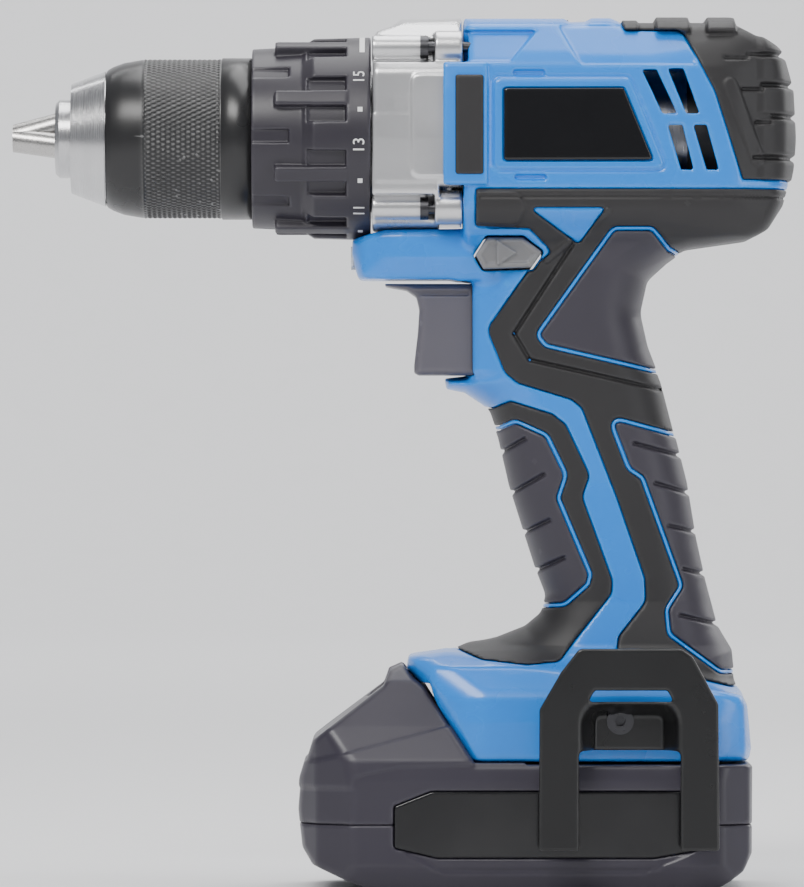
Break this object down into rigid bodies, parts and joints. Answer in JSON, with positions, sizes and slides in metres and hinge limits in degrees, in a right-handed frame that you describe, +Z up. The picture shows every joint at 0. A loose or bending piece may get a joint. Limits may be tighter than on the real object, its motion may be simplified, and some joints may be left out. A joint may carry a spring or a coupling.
{
  "type": "cordless drill",
  "caption": "Pistol-grip cordless drill driver with keyless chuck, torque collar, side belt hook and a slide-on battery pack as its base.",
  "frame": {"origin": "on the battery pack's flat base, in the drill's plane of symmetry, under the middle of the pack", "axes": "+Z up, chuck pointing along -X, belt hook on the -Y side"},
  "size_m": [0.2132, 0.0842, 0.236],
  "materials": {
    "shell_blue": "fine spark-eroded texture, coloured through",
    "grip_rubber": "soft moulded rubber, matte",
    "pad_rubber": "soft moulded rubber, finely textured",
    "gloss_black": "polished",
    "die_cast": "die-cast, silver coated",
    "dark_plastic": "glass-filled, fine texture",
    "light_grey_plastic": "fine texture",
    "sleeve_black": "knurled, low sheen",
    "machined_steel": "turned and ground",
    "hardened_steel": "hardened, oiled",
    "screw_steel": "black oxide",
    "zinc_screw": "zinc plated",
    "spring_steel": "drawn wire",
    "bronze": "sintered, oiled",
    "motor_steel": "drawn and zinc plated",
    "magnet": "sintered ferrite",
    "copper": "enamelled wire and copper bars",
    "carbon": "pressed carbon",
    "switch_plastic": "moulded",
    "hook_steel": "black phosphate over sheet steel",
    "clear_lens": "clear moulded",
    "cell": null
  },
  "bodies": {
    "housing": {"housing_left": "shell_blue", "housing_right": "shell_blue", "overmould_left": "grip_rubber", "overmould_right": "grip_rubber", "side_pads": "pad_rubber", "name_plates": "gloss_black", "housing_screws": "screw_steel", "gear_housing": "die_cast", "gearbox_case": "dark_plastic", "gearbox_screws": "screw_steel", "clutch_ring_gear": "hardened_steel", "clutch_pins": "hardened_steel", "clutch_washer": "hardened_steel", "clutch_spring": "spring_steel", "bushes": "bronze", "motor_can": "motor_steel", "motor_magnets": "magnet", "motor_end_cap": "switch_plastic", "motor_brushes": "carbon", "hook_inserts": "bronze", "switch_module": "switch_plastic", "terminal_block": "switch_plastic", "work_light_lens": "clear_lens", "belt_hook": "hook_steel", "belt_hook_screw": "screw_steel", "trigger_spring": "spring_steel"},
    "spindle": {"spindle": "hardened_steel", "chuck_body": "machined_steel", "chuck_screw": "screw_steel", "output_carrier": "hardened_steel"},
    "chuck_sleeve": {"chuck_sleeve": "sleeve_black", "chuck_nut": "hardened_steel"},
    "chuck_jaw_1": {"chuck_jaw_1": "hardened_steel"},
    "chuck_jaw_2": {"chuck_jaw_2": "hardened_steel"},
    "chuck_jaw_3": {"chuck_jaw_3": "hardened_steel"},
    "rotor": {"motor_shaft": "hardened_steel", "rotor_core": "motor_steel", "rotor_windings": "copper", "motor_fan": "switch_plastic", "motor_pinion": "hardened_steel"},
    "first_carrier": {"first_carrier": "hardened_steel"},
    "first_planet_1": {"first_planet_1": "hardened_steel"},
    "first_planet_2": {"first_planet_2": "hardened_steel"},
    "first_planet_3": {"first_planet_3": "hardened_steel"},
    "second_planet_1": {"second_planet_1": "hardened_steel"},
    "second_planet_2": {"second_planet_2": "hardened_steel"},
    "second_planet_3": {"second_planet_3": "hardened_steel"},
    "torque_collar": {"torque_collar": "dark_plastic"},
    "clutch_nut": {"clutch_nut": "dark_plastic"},
    "speed_selector": {"speed_selector": "light_grey_plastic", "shift_fork": "spring_steel", "shift_ring_gear": "hardened_steel"},
    "direction_selector": {"direction_selector": "light_grey_plastic"},
    "trigger": {"trigger": "light_grey_plastic"},
    "pack": {"pack_case_upper": "dark_plastic", "pack_case_lower": "dark_plastic", "pack_cells": "cell", "pack_side_panels": "gloss_black", "pack_screws": "zinc_screw"},
    "pack_latch": {"pack_latch": "light_grey_plastic"}
  },
  "joints": [
    {"name": "spindle_spin", "type": "hinge", "parent": "housing", "child": "spindle", "pos_m": [0, 0, 0.2035], "axis": [1, 0, 0], "continuous": true},
    {"name": "rotor_spin", "type": "hinge", "parent": "housing", "child": "rotor", "pos_m": [0, 0, 0.2035], "axis": [1, 0, 0], "continuous": true},
    {"name": "first_carrier_spin", "type": "hinge", "parent": "housing", "child": "first_carrier", "pos_m": [0, 0, 0.2035], "axis": [1, 0, 0], "continuous": true},
    {"name": "first_planet_1_spin", "type": "hinge", "parent": "first_carrier", "child": "first_planet_1", "pos_m": [-0.0155, 0, 0.1927], "axis": [1, 0, 0], "continuous": true},
    {"name": "second_planet_1_spin", "type": "hinge", "parent": "spindle", "child": "second_planet_1", "pos_m": [-0.0255, 0, 0.1927], "axis": [1, 0, 0], "continuous": true},
    {"name": "first_planet_2_spin", "type": "hinge", "parent": "first_carrier", "child": "first_planet_2", "pos_m": [-0.0155, 0.00935, 0.2089], "axis": [1, 0, 0], "continuous": true},
    {"name": "second_planet_2_spin", "type": "hinge", "parent": "spindle", "child": "second_planet_2", "pos_m": [-0.0255, 0.00935, 0.2089], "axis": [1, 0, 0], "continuous": true},
    {"name": "first_planet_3_spin", "type": "hinge", "parent": "first_carrier", "child": "first_planet_3", "pos_m": [-0.0155, -0.00935, 0.2089], "axis": [1, 0, 0], "continuous": true},
    {"name": "second_planet_3_spin", "type": "hinge", "parent": "spindle", "child": "second_planet_3", "pos_m": [-0.0255, -0.00935, 0.2089], "axis": [1, 0, 0], "continuous": true},
    {"name": "sleeve_turn", "type": "hinge", "parent": "spindle", "child": "chuck_sleeve", "pos_m": [0, 0, 0.2035], "axis": [1, 0, 0], "range_deg": [0, 3470]},
    {"name": "jaw_1_slide", "type": "slide", "parent": "spindle", "child": "chuck_jaw_1", "axis": [0.9659, 0.2241, -0.1294], "range_m": [0, 0.0213]},
    {"name": "jaw_2_slide", "type": "slide", "parent": "spindle", "child": "chuck_jaw_2", "axis": [0.9659, 0, 0.2588], "range_m": [0, 0.0213]},
    {"name": "jaw_3_slide", "type": "slide", "parent": "spindle", "child": "chuck_jaw_3", "axis": [0.9659, -0.2241, -0.1294], "range_m": [0, 0.0213]},
    {"name": "collar_turn", "type": "hinge", "parent": "housing", "child": "torque_collar", "pos_m": [0, 0, 0.2035], "axis": [1, 0, 0], "range_deg": [-328, 0]},
    {"name": "clutch_nut_slide", "type": "slide", "parent": "torque_collar", "child": "clutch_nut", "axis": [1, 0, 0], "range_m": [-0.003, 0.0001], "deforming": ["clutch_spring"]},
    {"name": "speed_shift", "type": "slide", "parent": "housing", "child": "speed_selector", "axis": [1, 0, 0], "range_m": [-0.005, 0]},
    {"name": "direction_slide", "type": "slide", "parent": "housing", "child": "direction_selector", "axis": [0, 1, 0], "range_m": [-0.004, 0.004]},
    {"name": "trigger_pull", "type": "slide", "parent": "housing", "child": "trigger", "axis": [1, 0, 0], "range_m": [0, 0.007], "stiffness_N_per_m": 900, "springref_m": -0.003, "deforming": ["trigger_spring"]},
    {"name": "pack_slide", "type": "slide", "parent": "housing", "child": "pack", "axis": [-1, 0, 0], "range_m": [0, 0.07]},
    {"name": "latch_press", "type": "slide", "parent": "pack", "child": "pack_latch", "axis": [0, 0, -1], "range_m": [0, 0.003], "stiffness_N_per_m": 700, "springref_m": -0.002}
  ],
  "couplings": [
    {"joint": "rotor_spin", "follows": "spindle_spin", "ratio": 16},
    {"joint": "first_carrier_spin", "follows": "spindle_spin", "ratio": 4},
    {"joint": "first_planet_1_spin", "follows": "spindle_spin", "ratio": -12},
    {"joint": "second_planet_1_spin", "follows": "spindle_spin", "ratio": -3},
    {"joint": "first_planet_2_spin", "follows": "spindle_spin", "ratio": -12},
    {"joint": "second_planet_2_spin", "follows": "spindle_spin", "ratio": -3},
    {"joint": "first_planet_3_spin", "follows": "spindle_spin", "ratio": -12},
    {"joint": "second_planet_3_spin", "follows": "spindle_spin", "ratio": -3},
    {"joint": "jaw_1_slide", "follows": "sleeve_turn", "m_per_rad": 0.00035014},
    {"joint": "jaw_2_slide", "follows": "sleeve_turn", "m_per_rad": 0.00035014},
    {"joint": "jaw_3_slide", "follows": "sleeve_turn", "m_per_rad": 0.00035014},
    {"joint": "clutch_nut_slide", "follows": "collar_turn", "m_per_rad": 0.0005093}
  ]
}
